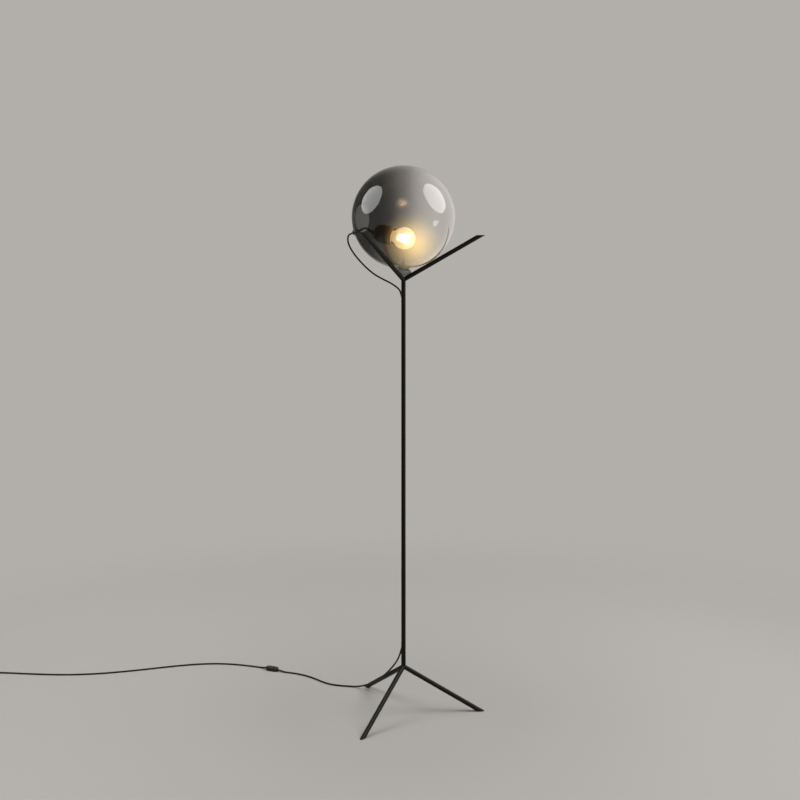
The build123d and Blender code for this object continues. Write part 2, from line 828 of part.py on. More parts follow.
def around_holder(distance, radius, angle):
    """A point at a distance along the lampholder's axis, at a radius and an angle round it."""
    return holder_plane(distance).from_local_coords(
        Vector(radius * cos(radians(angle)), radius * sin(radians(angle)), 0)
    )


filament_angles = [360 / filament_count * (turn + 0.5) for turn in range(filament_count)]
with BuildPart() as bulb_filaments:
    for angle in filament_angles:
        foot = around_holder(filament_foot, filament_foot_radius, angle)
        top = around_holder(filament_end, filament_top_radius, angle)
        with BuildSketch(Plane(origin=foot, z_dir=top - foot)):
            Circle(filament_dia / 2)
        extrude(amount=(top - foot).length)
finish(bulb_filaments, "bulb_filaments")

with BuildPart() as filament_leads:
    for angle in filament_angles:
        for end, radius in (
            (filament_foot - lead_dia, filament_foot_radius),
            (filament_end + lead_dia, filament_top_radius),
        ):
            inner = around_holder(end, mount_rod_dia / 2 + slide_fit / 2, angle)
            outer = around_holder(end, radius + filament_dia / 2, angle)
            with BuildSketch(Plane(origin=inner, z_dir=outer - inner)):
                Circle(lead_dia / 2)
            extrude(amount=(outer - inner).length)
finish(filament_leads, "filament_leads")

# ================================================================ cable
cable_radius = cable_dia / 2
slot_mouth = (7.0, 7.0)  # out of the axis, and past the slot's middle
slot_inside = (-1.6, -25.0)  # where the cable turns towards the slot inside the pole


def beside_pole(azimuth, height, way, place):
    return direction(azimuth) * place[0] + Vector(0, 0, height + way * place[1])


upper_mouth = beside_pole(gland_azimuth, upper_slot, 1, slot_mouth)
upper_inside = beside_pole(gland_azimuth, upper_slot, 1, slot_inside)
lower_mouth = beside_pole(lower_slot_azimuth, lower_slot, -1, slot_mouth)
lower_inside = beside_pole(lower_slot_azimuth, lower_slot, -1, slot_inside)


def cord(route, name):
    """A tube of cable along straight runs joined by tangent arcs."""
    radii = corner_radii(route)
    with BuildPart() as piece:
        with BuildLine() as path:
            FilletPolyline(*route, radius=radii)
        with BuildSketch(Plane(origin=route[0], z_dir=Vector(route[1]) - Vector(route[0]))):
            Circle(cable_radius)
        sweep()
    length = sum(edge.length for edge in path.line.edges())
    share = piece.part.volume / (pi * cable_radius**2 * length)
    print(f"{name}: length {length:.1f}, volume share {share:.5f}")
    print("  radii", " ".join(f"{radius:.0f}" for radius in radii))
    return piece


finish(cord([lower_mouth, lower_inside, upper_inside, upper_mouth], "pole_cord"), "pole_cord")

# Upper run: distances from the pole's axis and heights, in the upright plane of the gland.
upper_bow = (
    (144.5, 1288.8),
    (150.2, 1284.0),
    (152.0, 1274.5),
    (149.6, 1260.5),
    (139.8, 1241.5),
    (122.5, 1219.0),
    (100.5, 1196.2),
    (78.5, 1178.0),
    (54.4, 1164.9),
    (34.0, 1155.2),
    (19.0, 1144.8),
)
upper_out = (upper_mouth - upper_inside).normalized() * upper_mouth_run
upper_route = [
    globe_centre + gland_direction * nose_end,
    *[direction(gland_azimuth) * out + Vector(0, 0, height) for out, height in upper_bow],
    upper_mouth + upper_out,
    upper_mouth,
]
finish(cord(upper_route, "upper_cord"), "upper_cord")


def in_switch(along, height):
    """A point over the switch's middle line, with along positive towards the pole."""
    return Vector(*switch_centre) - direction(switch_heading) * along + Vector(0, 0, height)


switch_end = switch_length / 2
switch_level_end = switch_end + switch_level_run
switch_sink_end = switch_level_end + switch_sink_run
lower_out = (lower_mouth - lower_inside).normalized() * lower_mouth_run
floor_points = (
    (-14.5, 7.5, 138.5),
    (-22.5, 19.5, 121.5),
    (-34.0, 38.0, 101.0),
    (-50.0, 62.0, 76.5),
    (-69.5, 92.0, 51.0),
    (-90.0, 124.0, 29.0),
    (-109.0, 150.0, 14.5),
    (-126.0, 166.5, 5.0),
    (-146.0, 174.0, cable_radius),
    (-178.0, 180.0, cable_radius),
    (-213.4, 192.0, cable_radius),
    (-243.0, 221.0, cable_radius),
    (-272.8, 251.5, cable_radius),
    (-305.0, 273.0, cable_radius),
    (-329.0, 283.0, cable_radius),
)
floor_route = [
    lower_mouth,
    lower_mouth + lower_out,
    *[Vector(*point) for point in floor_points],
    in_switch(switch_sink_end, cable_radius),
    in_switch(switch_level_end, switch_cable_height),
    in_switch(switch_end - cord_in_switch, switch_cable_height),
]
finish(cord(floor_route, "floor_cord"), "floor_cord")

coil_height = cable_radius + coil_lift
coil_entry = Vector(*coil_start, coil_height) + Vector(cable_dia, 0, 0)
left_points = (
    (-449.0, 338.5),
    (-490.0, 351.5),
    (-535.0, 361.0),
    (-585.0, 362.5),
    (-640.0, 354.0),
    (-695.0, 338.5),
    (-748.0, 320.5),
    (-805.0, 301.5),
    (-861.0, 285.5),
    (-918.0, 273.5),
    (-980.0, 268.0),
    (-1042.0, 269.5),
    (-1103.0, 275.5),
    (-1163.0, 283.0),
)
left_route = [
    in_switch(cord_in_switch - switch_end, switch_cable_height),
    in_switch(-switch_level_end, switch_cable_height),
    in_switch(-switch_sink_end, cable_radius),
    *[Vector(*point, cable_radius) for point in left_points],
    coil_entry + Vector(coil_entry_run, 0, 0),
    coil_entry,
]
finish(cord(left_route, "floor_cord_left"), "floor_cord_left")


# The put-away length: a flat spiral inwards, a half turn that climbs, and a spiral outwards on top.
def half_turns():
    """Start, radius, side and height of each half turn, in the order in which the cable runs."""
    turns = []
    place = coil_start[1]
    radius = coil_radius
    for count in range(2 * coil_half_turns):
        lower = count < coil_half_turns
        climbing = count == coil_half_turns
        way = 1 if count % 2 == 0 else -1
        end = place + way * 2 * radius
        low = coil_height if lower or climbing else coil_height + coil_step
        high = coil_height if lower else coil_height + coil_step
        turns.append((place, end, radius, way, low, high))
        place = end
        radius += -coil_step / 2 if lower else coil_step / 2
    return turns


coil_turns = half_turns()
coil_x = coil_start[0]
coil_end_height = plug_thick / 2
with BuildPart() as cord_coil:
    with BuildLine() as coil_path:
        Line(coil_entry, Vector(*coil_start, coil_height))
        for place, end, radius, way, low, high in coil_turns:
            ThreePointArc(
                (coil_x, place, low),
                (coil_x - way * radius, (place + end) / 2, (low + high) / 2),
                (coil_x, end, high),
            )
        coil_out = Vector(coil_x, coil_turns[-1][1], coil_height + coil_step)
        lead_edge = coil_out - Vector(coil_lead_level, 0, 0)
        halfway = Vector(-coil_lead_drop / 2, 0, (coil_end_height - coil_out.Z) / 2)
        Line(coil_out, lead_edge)
        first_drop = TangentArc(lead_edge, lead_edge + halfway, tangent=(-1, 0, 0))
        TangentArc(first_drop @ 1, lead_edge + halfway * 2, tangent=first_drop % 1)
        Line(lead_edge + halfway * 2, lead_edge + halfway * 2 - Vector(coil_lead_end, 0, 0))
    with BuildSketch(Plane(origin=coil_entry, z_dir=(-1, 0, 0))):
        Circle(cable_radius)
    sweep()
finish(cord_coil, "cord_coil")
coil_edges = list(coil_path.line.edges())
coil_length = sum(edge.length for edge in coil_edges)
coil_share = cord_coil.part.volume / (pi * cable_radius**2 * coil_length)
print(f"cord_coil: length {coil_length:.1f}, volume share {coil_share:.5f}")


def coil_gap(spacing=2.0, apart=10):
    """The least gap of the coil to itself, between points that lie well apart along it."""
    points = [
        edge.position_at((count + 0.5) / round(edge.length / spacing))
        for edge in coil_edges
        for count in range(round(edge.length / spacing))
    ]
    least = min(
        (here - there).length
        for place, here in enumerate(points)
        for there in points[place + apart :]
    )
    return least - cable_dia


print(f"cord_coil: least gap to itself {coil_gap():.2f}")

# The tie goes round the bundle on the side away from the coil's ends.
bundle_outer = coil_turns[0][1] + cable_radius
bundle_inner = coil_turns[coil_half_turns - 1][1] - cable_radius
bundle_sag = tie_width**2 / 8 / coil_turns[coil_half_turns][2]
tie_low = tie_thick + tie_play
tie_high = coil_height + coil_step + cable_radius + tie_play
tie_outer = bundle_outer + tie_play
tie_inner = bundle_inner - bundle_sag - tie_play
with BuildPart() as coil_tie:
    with BuildSketch(
        Plane(
            origin=(coil_x, (tie_outer + tie_inner) / 2, (tie_high + tie_low) / 2),
            x_dir=(0, 1, 0),
            z_dir=(1, 0, 0),
        )
    ):
        bundle_width = tie_outer - tie_inner
        bundle_height = tie_high - tie_low
        RectangleRounded(
            bundle_width + 2 * tie_thick, bundle_height + 2 * tie_thick, tie_corner + tie_thick
        )
        RectangleRounded(bundle_width, bundle_height, tie_corner, mode=Mode.SUBTRACT)
    extrude(amount=tie_width / 2, both=True)
finish(coil_tie, "coil_tie")

# ================================================================ inline switch
switch_x = -direction(switch_heading)


def switch_plane(height=0.0):
    """Level, over the switch's middle, with X towards the pole."""
    return Plane(origin=Vector(*switch_centre, height), x_dir=switch_x, z_dir=(0, 0, 1))


def switch_side(across=0.0):
    """Upright along the switch's middle line, with X towards the pole and Y up."""
    side = Vector(0, 0, 1).cross(switch_x)
    return Plane(origin=Vector(*switch_centre) + side * across, x_dir=switch_x, z_dir=-side)


def switch_outline(inset):
    """The housing's outline in plan, drawn in by an inset."""
    end = switch_length / 2 - inset
    half = switch_width / 2 - inset
    half_end = switch_end_width / 2 - inset * switch_end_taper
    corners = [(end, half_end), (switch_shoulder, half), (-switch_shoulder, half), (-end, half_end)]
    return corners + [(x, -y) for x, y in reversed(corners)]


screw_places = [
    (switch_screw_spread[0], switch_screw_spread[1]),
    (-switch_screw_spread[0], -switch_screw_spread[1]),
]
split_height = switch_cable_height
boss_radius = switch_screw_dia / 2 + boss_wall
head_hole_depth = switch_screw_sunk + switch_screw_head
cable_notch = cable_radius + notch_play

with BuildPart() as switch_base:
    with BuildSketch(switch_plane()):
        with BuildLine():
            Polyline(*switch_outline(0), close=True)
        make_face()
        fillet(vertices(), radius=switch_corner)
    extrude(amount=split_height)
    chamfer(faces().sort_by(Axis.Z)[0].edges(), length=switch_foot_edge)
    with BuildSketch(switch_plane(switch_wall)):
        with BuildLine():
            Polyline(*switch_outline(switch_wall), close=True)
        make_face()
    extrude(amount=split_height, mode=Mode.SUBTRACT)
    with BuildSketch(switch_plane(switch_wall / 2)):
        with Locations(*screw_places):
            Circle(boss_radius)
    extrude(amount=split_height - switch_wall / 2)
    with BuildSketch(switch_plane()):
        with Locations(*screw_places):
            Circle(switch_screw_dia / 2 + switch_screw_play)
    extrude(amount=split_height, mode=Mode.SUBTRACT)
    with BuildSketch(switch_plane()):
        with Locations(*screw_places):
            Circle(switch_screw_dia + slide_fit)
    extrude(amount=head_hole_depth, mode=Mode.SUBTRACT)
    with BuildSketch(Plane(origin=in_switch(-switch_length, split_height), z_dir=switch_x)):
        Circle(cable_notch)
    extrude(amount=2 * switch_length, mode=Mode.SUBTRACT)
finish(switch_base, "switch_base")

bearing_inner = rocker_width / 2 + bearing_play
pivot_plane = Plane(
    origin=in_switch(0, rocker_pivot_height), x_dir=switch_x, z_dir=switch_side().z_dir
)
with BuildPart() as switch_cover:
    with BuildSketch(switch_plane(split_height)):
        with BuildLine():
            Polyline(*switch_outline(0), close=True)
        make_face()
        fillet(vertices(), radius=switch_corner)
    extrude(amount=switch_height - split_height)
    fillet(faces().sort_by(Axis.Z)[-1].edges(), radius=switch_top_edge)
    with BuildSketch(switch_plane(split_height)):
        with BuildLine():
            Polyline(*switch_outline(switch_wall), close=True)
        make_face()
    extrude(amount=switch_height - split_height - switch_wall, mode=Mode.SUBTRACT)
    with BuildSketch(switch_plane(split_height)):
        with Locations(*screw_places):
            Circle(boss_radius)
    extrude(amount=switch_height - split_height - switch_wall / 2)
    for side in (-1, 1):
        with BuildSketch(switch_plane(rocker_pivot_height - trunnion_dia)):
            with Locations((0, side * (bearing_inner + bearing_thick / 2))):
                Rectangle(bearing_length, bearing_thick)
        extrude(amount=switch_height - rocker_pivot_height + trunnion_dia - switch_wall / 2)
    with BuildSketch(switch_plane(split_height)):
        Rectangle(rocker_length + 2 * rocker_gap, 2 * bearing_inner)
    extrude(amount=switch_height, mode=Mode.SUBTRACT)
    with BuildSketch(pivot_plane):
        Circle(trunnion_dia / 2 + trunnion_clearance)
    extrude(amount=bearing_inner + bearing_thick, both=True, mode=Mode.SUBTRACT)
    with BuildSketch(switch_plane(split_height)):
        with Locations(*screw_places):
            Circle(switch_screw_dia / 2)
    extrude(amount=switch_screw_bore, mode=Mode.SUBTRACT)
    with BuildSketch(Plane(origin=in_switch(-switch_length, split_height), z_dir=switch_x)):
        Circle(cable_notch)
    extrude(amount=2 * switch_length, mode=Mode.SUBTRACT)
finish(switch_cover, "switch_cover")

with BuildPart() as switch_screws:
    with BuildSketch(switch_plane(switch_screw_sunk)):
        with Locations(*screw_places):
            Circle(switch_screw_dia)
    extrude(amount=switch_screw_head)
    with BuildSketch(switch_plane(head_hole_depth)):
        with Locations(*screw_places):
            Circle(switch_screw_dia / 2 - slide_fit / 2)
    extrude(amount=split_height + switch_screw_grip)
finish(switch_screws, "switch_screws")

# The rocker is tipped towards the plug's side, where it rests on its stop with the lamp on.
rocker_plane = Plane(
    origin=pivot_plane.origin,
    x_dir=switch_x * cos(radians(rocker_tilt)) + Vector(0, 0, sin(radians(rocker_tilt))),
    z_dir=pivot_plane.z_dir,
)
with BuildPart() as switch_rocker:
    with BuildSketch(rocker_plane):
        with BuildLine():
            half_rocker = rocker_length / 2
            Polyline(
                (-half_rocker, rocker_crown),
                (-half_rocker, -rocker_skirt),
                (-rocker_foot, -rocker_belly),
                (-rocker_foot, -bridge_drop),
                (rocker_foot, -bridge_drop),
                (rocker_foot, -rocker_belly),
                (half_rocker, -rocker_skirt),
                (half_rocker, rocker_crown),
            )
            ThreePointArc(
                (half_rocker, rocker_crown),
                (0, rocker_crown - rocker_dish),
                (-half_rocker, rocker_crown),
            )
        make_face()
    extrude(amount=rocker_width / 2, both=True)
    with BuildSketch(rocker_plane):
        Circle(trunnion_dia / 2)
    extrude(amount=bearing_inner + bearing_thick - trunnion_short, both=True)
finish(switch_rocker, "switch_rocker")

with BuildPart() as bridge_contact:
    with BuildSketch(rocker_plane):
        with BuildLine():
            Polyline(
                (-half_rocker, -bridge_drop),
                (rocker_foot, -bridge_drop),
                (rocker_foot, -bridge_drop - bridge_thick),
                (-half_rocker, -bridge_drop - bridge_thick),
                close=True,
            )
        make_face()
    extrude(amount=bridge_half_width, both=True)
finish(bridge_contact, "bridge_contact")

bridge_low = bridge_drop + bridge_thick
near_contact_top = (
    rocker_pivot_height
    - bridge_low * cos(radians(rocker_tilt))
    - half_rocker * sin(radians(rocker_tilt))
    - contact_air_gap
)
post_top = rocker_pivot_height - bridge_low - 2 * contact_air_gap
block_out = terminal_inset + block_half_length
block_in = terminal_inset - block_half_length
finger_floor = near_contact_top - contact_finger
finger_in = contact_overlap - half_rocker
finger_out = -half_rocker - contact_back
with BuildPart() as switch_contacts:
    with BuildSketch(switch_side()):
        with BuildLine():
            Polyline(
                (-block_out, switch_wall),
                (finger_in, switch_wall),
                (finger_in, near_contact_top),
                (finger_out, near_contact_top),
                (finger_out, finger_floor),
                (-block_in, finger_floor),
                (-block_in, split_height),
                (-block_out, split_height),
                close=True,
            )
        make_face()
        with BuildLine():
            Polyline(
                (block_out, switch_wall),
                (-contact_finger, switch_wall),
                (-contact_finger, post_top),
                (contact_finger, post_top),
                (contact_finger, finger_floor),
                (block_in, finger_floor),
                (block_in, split_height),
                (block_out, split_height),
                close=True,
            )
        make_face()
    extrude(amount=block_half_width, both=True)
finish(switch_contacts, "switch_contacts")

with BuildPart() as switch_terminal_screws:
    with BuildSketch(switch_plane(split_height)):
        with Locations((-terminal_inset, 0), (terminal_inset, 0)):
            Circle(block_screw_dia / 2)
    extrude(amount=block_screw_head)
finish(switch_terminal_screws, "switch_terminal_screws")

clamp_place = switch_end - cord_in_switch + clamp_size[0] / 2 + clamp_inset
with BuildPart() as cord_clamps:
    with BuildSketch(switch_plane(split_height + cable_radius - clamp_seat)):
        with Locations((-clamp_place, 0), (clamp_place, 0)):
            Rectangle(clamp_size[0], clamp_size[1])
    extrude(amount=clamp_size[2])
    with BuildSketch(Plane(origin=in_switch(-switch_length, split_height), z_dir=switch_x)):
        Circle(cable_radius + clamp_play)
    extrude(amount=2 * switch_length, mode=Mode.SUBTRACT)
finish(cord_clamps, "cord_clamps")

# ================================================================ plug
plug_start = lead_edge + halfway * 2 - Vector(coil_lead_end, 0, 0)
plug_direction = Vector(-1, 0, 0)


def plug_plane(distance):
    """Square to the plug's axis, with X across it and Y up."""
    return Plane(
        origin=plug_start + plug_direction * distance, x_dir=(0, -1, 0), z_dir=plug_direction
    )


with BuildPart() as plug_strain_relief:
    with BuildSketch(plug_plane(0)):
        Circle(relief_small_dia / 2)
    with BuildSketch(plug_plane(relief_length)):
        Circle(relief_large_dia / 2)
    loft()
    for count in range(relief_grooves):
        place = relief_length * (count + 1) / (relief_grooves + 1)
        root_dia = relief_small_dia + (relief_large_dia - relief_small_dia) * place / relief_length
        with BuildSketch(plug_plane(place)):
            Circle(relief_large_dia)
            Circle(root_dia / 2 - relief_groove_depth, mode=Mode.SUBTRACT)
        extrude(amount=relief_groove_width, mode=Mode.SUBTRACT)
finish(plug_strain_relief, "plug_strain_relief")


def plug_outline(share):
    """A long six-sided outline: flat above and below, pointed at the sides, with blunt points."""
    half = plug_width / 2 * share
    tall = plug_thick / 2 * (share + (1 - share) * plug_rear_height)
    flat = half - tall * plug_side_slope
    blunt = tall * plug_side_blunt
    corners = [(half, blunt), (flat, tall), (-flat, tall), (-half, blunt)]
    return corners + [(x, -y) for x, y in reversed(corners)]


plug_shoulder = relief_length + plug_length - plug_front_length
with BuildPart() as plug_body:
    with BuildSketch(plug_plane(relief_length)):
        Polygon(*plug_outline(plug_rear_share), align=None)
    with BuildSketch(plug_plane(plug_shoulder)):
        Polygon(*plug_outline(1.0), align=None)
    loft(ruled=True)
    with BuildSketch(plug_plane(plug_shoulder)):
        Polygon(*plug_outline(1.0), align=None)
    extrude(amount=plug_front_length)
finish(plug_body, "plug_body")

with BuildPart() as plug_pins:
    with BuildSketch(plug_plane(relief_length + plug_length)):
        with Locations((-pin_spacing / 2, 0), (pin_spacing / 2, 0)):
            Circle(pin_dia / 2)
    extrude(amount=pin_length)
    fillet(faces().group_by(Axis.X)[0].edges(), radius=pin_tip)
finish(plug_pins, "plug_pins")
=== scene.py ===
from math import atan2, cos, pi, radians, sin, sqrt

import bmesh
import bpy
from mathutils import Matrix, Vector


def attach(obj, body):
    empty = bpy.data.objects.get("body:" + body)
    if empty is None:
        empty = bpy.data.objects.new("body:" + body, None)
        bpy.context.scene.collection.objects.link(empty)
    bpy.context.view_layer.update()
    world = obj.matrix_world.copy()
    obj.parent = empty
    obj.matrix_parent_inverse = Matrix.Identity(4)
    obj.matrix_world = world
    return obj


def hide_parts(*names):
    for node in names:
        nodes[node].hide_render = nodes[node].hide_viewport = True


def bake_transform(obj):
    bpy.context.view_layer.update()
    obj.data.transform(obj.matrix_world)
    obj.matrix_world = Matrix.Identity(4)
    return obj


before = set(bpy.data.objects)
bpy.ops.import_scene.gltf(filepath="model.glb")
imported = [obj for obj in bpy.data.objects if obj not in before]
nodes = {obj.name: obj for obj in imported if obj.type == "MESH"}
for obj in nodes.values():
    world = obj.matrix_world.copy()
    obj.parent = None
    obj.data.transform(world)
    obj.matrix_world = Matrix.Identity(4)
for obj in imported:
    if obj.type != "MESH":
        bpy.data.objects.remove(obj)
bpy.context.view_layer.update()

upWay = Vector((0, 0, 1))


def direction(azimuth, elevation=0.0):
    turn, rise = radians(azimuth), radians(elevation)
    return Vector((cos(rise) * cos(turn), cos(rise) * sin(turn), sin(rise)))


def addObject(name, data):
    thing = bpy.data.objects.new(name, data)
    bpy.context.scene.collection.objects.link(thing)
    return thing


# the photograph's one point perspective: a level camera whose lens is shifted down
view = {
    "place": (-0.0094, -3.0, 1.167),
    "lens": 50.0,
    "shiftUp": -0.1516,
    "seesTo": 40.0,
}
camera = addObject("camera", bpy.data.cameras.new("camera"))
camera.location = view["place"]
camera.rotation_euler = (pi / 2, 0, 0)
camera.data.lens = view["lens"]
camera.data.shift_y = view["shiftUp"]
camera.data.clip_end = view["seesTo"]
bpy.context.scene.camera = camera
print("camera placed")

# one round cable in three runs on show: globe to pole, pole to switch, switch to plug
cable = {
    "diameter": 0.0046,
    "sides": 16,
    "steps": 10,  # along each control point's span
    "glandAzimuth": 175.0,
    "lengths": {"upper": 0.237, "floor": 0.556, "left": 2.017},
    # reach from the pole's axis and height, in the gland's upright plane
    "upperRoute": (
        (0.13828, 1.29072),
        (0.1445, 1.2888),
        (0.1502, 1.2840),
        (0.1520, 1.2745),
        (0.1496, 1.2605),
        (0.1398, 1.2415),
        (0.1225, 1.2190),
        (0.1005, 1.1962),
        (0.0785, 1.1780),
        (0.0544, 1.1649),
        (0.0340, 1.1552),
        (0.0190, 1.1448),
        (0.00933, 1.13576),
        (0.0070, 1.12707),
    ),
    "floorRoute": (
        (-0.00689, 0.00122, 0.16197),
        (-0.00945, 0.00167, 0.15231),
        (-0.0145, 0.0075, 0.1385),
        (-0.0225, 0.0195, 0.1215),
        (-0.0340, 0.0380, 0.1010),
        (-0.0500, 0.0620, 0.0765),
        (-0.0695, 0.0920, 0.0510),
        (-0.0900, 0.1240, 0.0290),
        (-0.1090, 0.1500, 0.0145),
        (-0.1260, 0.1665, 0.0050),
        (-0.1460, 0.1740, 0.0023),
        (-0.1780, 0.1800, 0.0023),
        (-0.2134, 0.1920, 0.0023),
        (-0.2430, 0.2210, 0.0023),
        (-0.2728, 0.2515, 0.0023),
        (-0.3050, 0.2730, 0.0023),
        (-0.3290, 0.2830, 0.0023),
        (-0.3526, 0.2909, 0.0023),
        (-0.3651, 0.2973, 0.0046),
        (-0.3775, 0.3036, 0.0046),
    ),
    "leftRoute": (
        (-0.4025, 0.3164, 0.0046),
        (-0.4149, 0.3227, 0.0046),
        (-0.4274, 0.3291, 0.0023),
        (-0.4490, 0.3385, 0.0023),
        (-0.4900, 0.3515, 0.0023),
        (-0.5350, 0.3610, 0.0023),
        (-0.5850, 0.3625, 0.0023),
        (-0.6400, 0.3540, 0.0023),
        (-0.6950, 0.3385, 0.0023),
        (-0.7480, 0.3205, 0.0023),
        (-0.8050, 0.3015, 0.0023),
        (-0.8610, 0.2855, 0.0023),
        (-0.9180, 0.2735, 0.0023),
        (-0.9800, 0.2680, 0.0023),
        (-1.0420, 0.2695, 0.0023),
        (-1.1030, 0.2755, 0.0023),
        (-1.1630, 0.2830, 0.0023),
        (-1.2074, 0.2850, 0.0031),
    ),
    "coilStart": (-1.248, 0.285, 0.0031),
    "coilRadius": 0.034,  # of the outermost half turn
    "coilStep": 0.0052,  # between turns, and between the two layers
    "coilHalfTurns": 7,  # in the lower layer
    "pointsInHalfTurn": 8,
    "leadLevel": 0.026,  # how far the lead runs level from the coil's top
    "leadDrop": 0.026,  # along which it comes down to the plug
    "dropFrom": 0.3,  # shares of the drop
    "dropTo": 0.7,
    "leadEnd": 0.003,
    "plugHeight": 0.00685,
}


def coilPoints():
    # inwards on the floor, a half turn that climbs, and outwards on top
    x, place, low = cable["coilStart"]
    radius = cable["coilRadius"]
    count = cable["pointsInHalfTurn"]
    spread = 1 / cos(pi / count / 2)  # the spline runs inside its points
    points = []
    for half in range(2 * cable["coilHalfTurns"]):
        way = 1 if half % 2 == 0 else -1
        middle = place + way * radius
        climbing = half == cable["coilHalfTurns"]
        onTop = half > cable["coilHalfTurns"]
        for step in range(count):
            angle = pi * (step + 0.5) / count
            rise = (step + 0.5) / count if climbing else float(onTop)
            points.append((
                x - way * sin(angle) * radius * spread,
                middle - way * cos(angle) * radius * spread,
                low + rise * cable["coilStep"],
            ))
        place += way * 2 * radius
        radius += cable["coilStep"] / 2 * (-1 if half < cable["coilHalfTurns"] else 1)
    return points, place


def leadPoints(y):
    # level from the coil's top, then down and into the plug
    x, _, low = cable["coilStart"]
    top = low + cable["coilStep"]
    level, drop = cable["leadLevel"], cable["leadDrop"]
    reaches = (
        (0.0, top),
        (level / 2, top),
        (level, top),
        (level + drop * cable["dropFrom"], top),
        (level + drop * cable["dropTo"], cable["plugHeight"]),
        (level + drop, cable["plugHeight"]),
        (level + drop + cable["leadEnd"], cable["plugHeight"]),
    )
    return [(x - reach, y, height) for reach, height in reaches]


def splineCurve(name, points):
    curve = bpy.data.curves.new(name, "CURVE")
    curve.dimensions = "3D"
    spline = curve.splines.new("NURBS")
    spline.points.add(len(points) - 1)
    for knot, place in zip(spline.points, points):
        knot.co = (*place, 1)
    spline.order_u = 3
    spline.use_endpoint_u = True
    spline.resolution_u = cable["steps"]
    return curve


def cableTube(name, points, *cords):
    # the bare spline's mesh is the path, the bevelled one's is the tube
    curve = splineCurve(name, points)
    line = addObject(name + "_line", curve)
    path = [point.co.copy() for point in bpy.data.meshes.new_from_object(line).vertices]
    curve.bevel_depth = cable["diameter"] / 2
    curve.bevel_resolution = cable["sides"] // 2 - 2
    curve.use_fill_caps = True
    tube = addObject(name, bpy.data.meshes.new_from_object(line))
    bpy.data.objects.remove(line)
    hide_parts(*cords)
    return tube, path


glandOut = direction(cable["glandAzimuth"])
upperPoints = [glandOut * reach + upWay * height for reach, height in cable["upperRoute"]]
upperCable, upperPath = cableTube("upper_cable", upperPoints, "upper_cord")
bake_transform(upperCable)

floorPoints = cable["floorRoute"]
floorCable, floorPath = cableTube("floor_cable", floorPoints, "floor_cord")
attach(floorCable, "root")

coilTurns, coilEnd = coilPoints()
leftPoints = [*cable["leftRoute"], *coilTurns, *leadPoints(coilEnd)]
leftCable, leftPath = cableTube("left_cable", leftPoints, "floor_cord_left", "cord_coil")
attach(leftCable, "root")
print("cables laid")


# small helpers for node trees; each gives back the new node's output
def feed(tree, socket, value):
    if isinstance(value, bpy.types.NodeSocket):
        tree.links.new(value, socket)
    else:
        socket.default_value = value


def calculate(tree, operation, *values):
    node = tree.nodes.new("ShaderNodeMath")
    node.operation = operation
    for socket, value in zip(node.inputs, values):
        feed(tree, socket, value)
    return node.outputs[0]


def scaleVector(tree, vector, factor):
    node = tree.nodes.new("ShaderNodeVectorMath")
    node.operation = "SCALE"
    feed(tree, node.inputs[0], vector)
    feed(tree, node.inputs["Scale"], factor)
    return node.outputs["Vector"]


def spreadOver(tree, value, start, end, low=0.0, curve="LINEAR"):
    # low up to start and 1 from end on
    node = tree.nodes.new("ShaderNodeMapRange")
    node.interpolation_type = curve
    feed(tree, node.inputs["Value"], value)
    feed(tree, node.inputs["From Min"], start)
    feed(tree, node.inputs["From Max"], end)
    feed(tree, node.inputs["To Min"], low)
    return node.outputs["Result"]


def mixValues(tree, kind, factor, first, second):
    node = tree.nodes.new("ShaderNodeMix")
    node.data_type = kind
    feed(tree, node.inputs["Factor"], factor)
    feed(tree, node.inputs["A"], first)
    feed(tree, node.inputs["B"], second)
    return node.outputs["Result"]


def mixShaders(tree, factor, first, second):
    node = tree.nodes.new("ShaderNodeMixShader")
    for socket, value in zip(node.inputs, (factor, first, second)):
        feed(tree, socket, value)
    return node.outputs[0]


def objectPlace(tree):
    return tree.nodes.new("ShaderNodeTexCoord").outputs["Object"]


def noiseOn(tree, place, scale, detail, roughness=0.5):
    node = tree.nodes.new("ShaderNodeTexNoise")
    feed(tree, node.inputs["Vector"], place)
    feed(tree, node.inputs["Scale"], scale)
    feed(tree, node.inputs["Detail"], detail)
    feed(tree, node.inputs["Roughness"], roughness)
    return node.outputs["Fac"]


def splitAxes(tree, vector):
    node = tree.nodes.new("ShaderNodeSeparateXYZ")
    feed(tree, node.inputs[0], vector)
    return node.outputs


def newMaterial(name):
    material = bpy.data.materials.new(name)
    material.use_nodes = True
    tree = material.node_tree
    return material, tree, tree.nodes["Principled BSDF"]


# a pale floor that fades into the background, a softbox at each side and a large one overhead
studio = {
    "background": (0.445, 0.429, 0.404, 1),
    "fill": (0.26, 0.26, 0.26, 1),  # what rough surfaces get from all round
    "darkSide": (0.030, 0.030, 0.030, 1),  # what gloss shows on the left
    "paleSide": (1.05, 1.02, 0.98, 1),  # and on the right
    "sideFrom": 0.06,
    "sideTo": 0.50,
    "aim": (0.0, 0.0, 1.333),
    # each one's way and distance from the aim, and how bright its own face is
    "softboxes": {
        "leftSoftbox": {"way": (-0.864, -0.063, 0.480), "away": 1.7, "size": (1.55, 1.50), "level": 4.4},
        "rightSoftbox": {"way": (0.850, -0.063, 0.520), "away": 1.7, "size": (1.60, 1.60), "level": 5.2},
        "topSoftbox": {"way": (0.02, -0.10, 0.99), "away": 1.6, "size": (2.4, 2.0), "level": 1.1,
                       "seenInGloss": False},
    },
}
ground = {
    "near": (0.425, 0.408, 0.384, 1),
    "far": (0.66, 0.637, 0.603, 1),  # makes up for the light's falling off
    "farStart": 0.3,
    "farEnd": 2.1,
    "roughness": 0.9,
    "specular": 0.15,
    "fadeStart": 0.9,
    "fadeEnd": 2.3,
    "reach": 7.0,
    "sides": 96,
}


